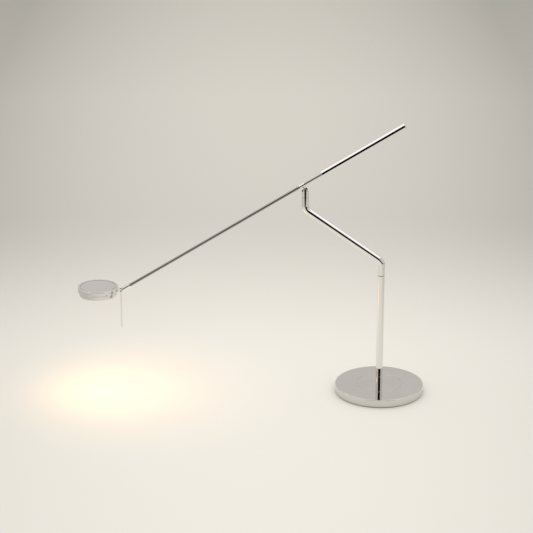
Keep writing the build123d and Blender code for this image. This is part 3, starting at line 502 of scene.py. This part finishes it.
# Sleeve: turned from bar and pressed in the stem's top end, for the fork's tail to turn in.
# A thin nylon washer lies in the split between stem and fork.
machined_chrome = chrome("chrome_on_machined_steel", 0.5)
sleeve_low, sleeve_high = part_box("stem_sleeve")
sleeve_bore = 3.3 * mm
sleeve_radius = stem_radius - stem_wall
sleeve_edge = 0.2 * mm
sleeve_hole_depth = 4.5 * mm
sleeve_shape = spun_shape([
    (sleeve_bore, sleeve_low.z, sleeve_edge), (sleeve_radius, sleeve_low.z, sleeve_edge),
    (sleeve_radius, sleeve_high.z, 0), (sleeve_bore, sleeve_high.z, sleeve_edge)], tube_steps, closed=True)
placed(sleeve_shape, Matrix.Translation((fork_axis.x, 0, 0)))
sleeve_shape = bored(sleeve_shape, fork_screw_place, -backward, stop_screw_hole, sleeve_hole_depth)
sleeve = finished("chromed_sleeve", sleeve_shape, machined_chrome)
belongs(sleeve, "stem", "stem_sleeve")

# Fork: turned from steel bar, slotted and chromed, with two round-topped ears that hold
# the arm's pivot screws. Its grooved tail turns in the sleeve.
fork = machined("chromed_fork", "fork_head", machined_chrome, edge=0.25 * mm)
belongs(fork, "fork", "fork_head")

# Tongue: the machined and chromed steel block between the fork's ears, with the neck and
# the cross coupling that holds the arm tube on one side and the counterweight's rod on
# the other.
tongue = machined("chromed_tongue", "arm_tongue", machined_chrome, edge=0.2 * mm)
belongs(tongue, "arm", "arm_tongue")

# Arm: a long thin steel tube, polished and chromed, that carries the head's lead inside.
# It looks like a dark line against the pale room, so its chrome and that of the tail rod
# are painted a darker tone: painted shade that stands for their dark reflections.
pivot = Vector(joints["arm_tilt"]["pos_m"])
arm_line = Vector(joints["head_roll"]["pos_m"])
arm_direction = Vector(joints["head_roll"]["axis"]).normalized()
arm_origin = arm_line + arm_direction * (pivot - arm_line).dot(arm_direction)
arm_place = Matrix.Translation(arm_origin) @ arm_direction.to_track_quat("Z", "Y").to_matrix().to_4x4()
# Darker tones for arm and tail rod: painted shade for their dark reflections.
arm_chrome_painted_dark = chrome("chrome_on_drawn_arm_tube_painted_dark", 0.8, arm_place, tones=("#90908E", "#9A9A98"))


def span(node, start, direction):
    """How far a node reaches along a direction, from its nearest to its farthest point."""
    reach = [(vertex.co - start).dot(direction) for vertex in frame["nodes"][node].data.vertices]
    return min(reach), max(reach)


arm_start, arm_end = span("arm_tube", arm_origin, arm_direction)
arm_radius = 3.0 * mm
arm_bore = 2.25 * mm
rod_steps = 64
arm_shape = spun_shape([
    (arm_radius, arm_start, 0), (arm_radius, arm_end, 0), (arm_bore, arm_end, 0), (arm_bore, arm_start, 0)],
    rod_steps, closed=True)
arm = finished("chromed_arm_tube", placed(arm_shape, arm_place), arm_chrome_painted_dark)
belongs(arm, "arm", "arm_tube")

# Counterweight: a solid steel cylinder on a thin rod, balanced against the head, with a
# small chamfer at both ends and a set screw in its back.
rod_start, rod_end = span("tail_rod", arm_origin, arm_direction)
rod_radius = 2.0 * mm
rod_shape = spun_shape([
    (0, rod_start, 0), (rod_radius, rod_start, 0), (rod_radius, rod_end, 0), (0, rod_end, 0)], rod_steps)
tail_rod = finished("chromed_tail_rod", placed(rod_shape, arm_place), arm_chrome_painted_dark)
belongs(tail_rod, "arm", "tail_rod")

weight_start, weight_end = span("counterweight", arm_origin, arm_direction)
set_screw_low, set_screw_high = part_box("counterweight_screw")
set_screw_centre = (set_screw_low + set_screw_high) / 2
weight_radius = 6.3 * mm
weight_chamfer = 0.6 * mm
into_the_rod = 0.5 * mm
set_screw_depth = weight_radius - rod_radius + into_the_rod
weight_shape = spun_shape([
    (0, rod_end, 0), (rod_radius, rod_end, 0), (rod_radius, weight_start, 0),
    (weight_radius - weight_chamfer, weight_start, 0), (weight_radius, weight_start + weight_chamfer, 0),
    (weight_radius, weight_end - weight_chamfer, 0), (weight_radius - weight_chamfer, weight_end, 0),
    (0, weight_end, 0)], tube_steps)
set_screw_place = Vector((set_screw_centre.x, weight_radius, set_screw_centre.z))
placed(weight_shape, arm_place)
weight_shape = bored(weight_shape, set_screw_place, -backward, stop_screw_hole, set_screw_depth)
turned_chrome = chrome("chrome_on_turned_steel", 0.8, arm_place)
counterweight = finished("chromed_counterweight", weight_shape, turned_chrome)
belongs(counterweight, "arm", "counterweight")

# Ferrule: a turned and chromed sleeve that turns on the plug in the arm's lower end. It is
# machined down to the tongue that the knuckle holds.
ferrule = machined("chromed_ferrule", "swivel_ferrule", machined_chrome, edge=0.2 * mm)
belongs(ferrule, "ferrule", "swivel_ferrule")

# Knuckle: the small machined and chromed fork between ferrule and head, with the neck that
# goes into the housing and is held there by a nut.
knuckle = machined("chromed_knuckle", "head_knuckle", machined_chrome, edge=0.25 * mm)
belongs(knuckle, "head", "head_knuckle")

# Handle: a thin rod with a rounded end, screwed into the knuckle's bridge from below, by
# which the head is aimed.
hub = Vector(joints["head_tilt"]["pos_m"])
head_up = Vector((0, 0, 1))
handle_low, handle_high = span("handle_rod", hub, head_up)
handle_radius = 1.5 * mm
handle_round = 1.2 * mm
handle_edge = 0.15 * mm
handle_steps = 48
thread_radius = 1.0 * mm
thread_length = 2.0 * mm
thread_start = handle_high - thread_length
handle_shape = spun_shape([
    (0, handle_low, 0), (handle_radius, handle_low, handle_round), (handle_radius, thread_start, handle_edge),
    (thread_radius, thread_start, 0), (thread_radius, handle_high, 0), (0, handle_high, 0)], handle_steps)
handle = finished("chromed_handle", placed(handle_shape, Matrix.Translation(hub)), tube_chrome)
belongs(handle, "head", "handle_rod")

# Lamp head housing: a shallow spun aluminium dish, plated and polished, with a bead rolled
# at its lower edge and three screws round its side. Its rim stands round the cap.
hub_to_centre = 46.35 * mm
head_centre = hub - Vector((hub_to_centre, 0, 0))
head_place = Matrix.Translation(head_centre)
head_chrome = chrome("chrome_on_spun_aluminium", 0.5, head_place, turned=True, tones=("#D9D7D4", "#E1DFDC"))
housing_low, rim_top = span("head_housing", head_centre, head_up)
housing_radius = 40.5 * mm
housing_wall = 0.9 * mm
rim_round = 1.0 * mm
bead_out = 0.35 * mm
bead_height = 1.1 * mm
bead_edge = 0.3 * mm
bead_fillet = 0.1 * mm
mouth_edge = 0.2 * mm
ceiling_fillet = 0.3 * mm
cap_radius = 34.75 * mm
cap_rise = 1.5 * mm
groove_width = 1.3 * mm
groove_edge = 0.15 * mm
rim_bore = cap_radius + groove_width
cap_seat = rim_top - cap_rise
housing_ceiling = cap_seat - housing_wall
housing_bore = housing_radius - housing_wall
housing_shape = spun_shape([
    (0, cap_seat, 0), (rim_bore, cap_seat, groove_edge), (rim_bore, rim_top, groove_edge),
    (housing_radius, rim_top, rim_round), (housing_radius, housing_low + bead_height, bead_fillet),
    (housing_radius + bead_out, housing_low + bead_height - bead_out, bead_edge),
    (housing_radius + bead_out, housing_low, bead_edge),
    (housing_bore, housing_low, mouth_edge), (housing_bore, housing_ceiling, ceiling_fillet),
    (0, housing_ceiling, 0)], disc_steps)
shade_screw_angles = (60, 180, 300)
shade_screw_height = housing_low + 1.5 * mm
shade_screw_hole = 2.0 * mm
for angle in shade_screw_angles:
    outward = Matrix.Rotation(math.radians(angle), 4, "Z") @ Vector((1, 0, 0))
    screw_place = outward * housing_radius + Vector((0, 0, shade_screw_height))
    housing_shape = bored(housing_shape, screw_place, -outward, shade_screw_hole, 2 * housing_wall, sides=24)
housing = finished("chromed_head_housing", placed(housing_shape, head_place), head_chrome)
belongs(housing, "head", "head_housing")

# Cap: a flat pressed dish on the housing, flush with its rim, so that a fine dark groove
# runs round it. Three studs riveted in the housing hold it from inside.
cap_wall = 0.8 * mm
cap_round = 0.5 * mm
cap_fillet = 0.2 * mm
cap_under = rim_top - cap_wall
stud_radius = 1.5 * mm
stud_circle = 25.0 * mm
stud_steps = 32
stud_angles = (90, 210, 330)
cap_shape = spun_shape([
    (0, rim_top, 0), (cap_radius, rim_top, cap_round), (cap_radius, cap_seat, 0),
    (cap_radius - cap_wall, cap_seat, 0), (cap_radius - cap_wall, cap_under, cap_fillet),
    (0, cap_under, 0)], disc_steps)
for angle in stud_angles:
    stud_place = Matrix.Rotation(math.radians(angle), 4, "Z") @ Matrix.Translation(
        (stud_circle, 0, (cap_under + housing_ceiling) / 2))
    bmesh.ops.create_cone(cap_shape, cap_ends=True, segments=stud_steps, radius1=stud_radius,
                          radius2=stud_radius, depth=cap_under - housing_ceiling, matrix=stud_place)
cap = finished("chromed_cap", placed(cap_shape, head_place), head_chrome)
belongs(cap, "head", "head_cap")

# Lower ring: spun aluminium, set in a little from the housing, with a rounded lower edge
# and the seat for the glass.
shade_low, shade_high = span("shade_ring", head_centre, head_up)
shade_radius = 38.2 * mm
shade_wall = 0.9 * mm
shade_bore = shade_radius - shade_wall
lens_seat = shade_low + shade_wall
shade_opening = 33.0 * mm
shade_round = 3.0 * mm
lip_radius = 39.5 * mm
lip_edge = 0.2 * mm
shade_shape = spun_shape([
    (shade_opening, shade_low, lip_edge), (shade_radius, shade_low, shade_round),
    (shade_radius, housing_low, 0), (lip_radius, housing_low, 0),
    (lip_radius, shade_high, lip_edge), (shade_bore, shade_high, lip_edge),
    (shade_bore, lens_seat, shade_round - shade_wall), (shade_opening, lens_seat, lip_edge)],
    disc_steps, closed=True)
shade = finished("chromed_lower_ring", placed(shade_shape, head_place), head_chrome)
belongs(shade, "head", "shade_ring")

# Lens: a disc of etched glass that lies on the lower ring's seat. The etching makes it
# milky and dull, and it glows a little, warm, with the lamp behind it.
lens_low, lens_high = span("lens_glass", head_centre, head_up)
lens_radius = 35.0 * mm
lens_edge = 0.3 * mm
etched_glass = grained("etched_glass", ("#F4F1EA", "#FBF9F4"), 0.4, 0.02, (0.45, 0.6), IOR=1.5)
etched_shader = etched_glass.node_tree.nodes["Principled BSDF"]
etched_shader.inputs["Transmission Weight"].default_value = 0.6
etched_shader.inputs["Emission Color"].default_value = linear("#FFE3B4")
etched_shader.inputs["Emission Strength"].default_value = 1.2
lens_shape = spun_shape([
    (0, lens_low, 0), (lens_radius, lens_low, lens_edge), (lens_radius, lens_high, lens_edge),
    (0, lens_high, 0)], disc_steps)
lens = finished("etched_glass_lens", placed(lens_shape, head_place), etched_glass)
belongs(lens, "head", "lens_glass")

# Inner parts: what the lamp holds inside, seen only through the glass, in the slots or
# from below. Each keeps its own shape and gets the finish of what it is made of.
inner_finishes = {
    "zinc_steel": grained("zinc_plated_steel", ("#A9ACAF", "#BCBFC1"), 1.5, 0.01, (0.3, 0.42), Metallic=1.0),
    "iron": grained("sand_cast_iron", ("#2A2A2B", "#3B3A39"), 1.2, 0.25, (0.7, 0.9), Metallic=0.6),
    "brass": grained("turned_brass", ("#B8955A", "#C6A468"), 0.6, 0.01, (0.22, 0.32), Metallic=1.0),
    "black_nylon": turned_nylon,
    "black_screw": grained("black_oxide_steel", ("#1C1C1E", "#29292B"), 0.5, 0.01, (0.35, 0.5), Metallic=0.9),
    "fibre": grained("pressed_fibre", ("#4A2A20", "#5C3628"), 0.3, 0.03, (0.7, 0.85)),
    "white_nylon": grained("moulded_nylon", ("#E4E1D8", "#ECE9E1"), 0.8, 0.02, (0.45, 0.55)),
    "white_ceramic": grained("steatite_ceramic", ("#E6E2D8", "#F0EDE6"), 0.5, 0.03, (0.5, 0.65)),
    "inner_lead": grained("silicone_lead", ("#D8D4C9", "#E2DED4"), 0.6, 0.02, (0.4, 0.5)),
    "bright_aluminium": grained("bright_anodised_aluminium", ("#D5D5D4", "#DEDEDD"), 0.8, 0.005, (0.16, 0.24),
                                Metallic=1.0),
    "quartz_glass": grained("quartz_glass", ("#F5F5F3", "#FFFFFF"), 1.0, 0.002, (0.02, 0.05), IOR=1.46),
}
quartz_shader = inner_finishes["quartz_glass"].node_tree.nodes["Principled BSDF"]
quartz_shader.inputs["Transmission Weight"].default_value = 0.95
stood_for = {node for thing in bpy.data.objects if "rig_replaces" in thing for node in thing["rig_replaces"]}
for row in frame["record"]["subparts"]:
    if row["node"] not in stood_for:
        node = frame["nodes"][row["node"]]
        node.data.materials.clear()
        node.data.materials.append(inner_finishes[row["material_slot"]])

# Lamp light: the warm beam of the low-voltage lamp, from just under the glass. It leans a
# little towards the post and moves with the head.
beam_lean = math.radians(13)
beam_drop = 2 * mm
beam_data = bpy.data.lights.new("lamp_beam", "SPOT")
beam_data.energy = 1.7
beam_data.color = linear("#FFC474")[:3]
beam_data.spot_size = math.radians(140)
beam_data.spot_blend = 1.0
beam_data.shadow_soft_size = 45.0 * mm
beam = bpy.data.objects.new("lamp_beam", beam_data)
beam.location = head_centre + head_up * (lens_low - beam_drop)
beam.rotation_euler = (0, -beam_lean, 0)
bpy.context.scene.collection.objects.link(beam)
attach(beam, "head")
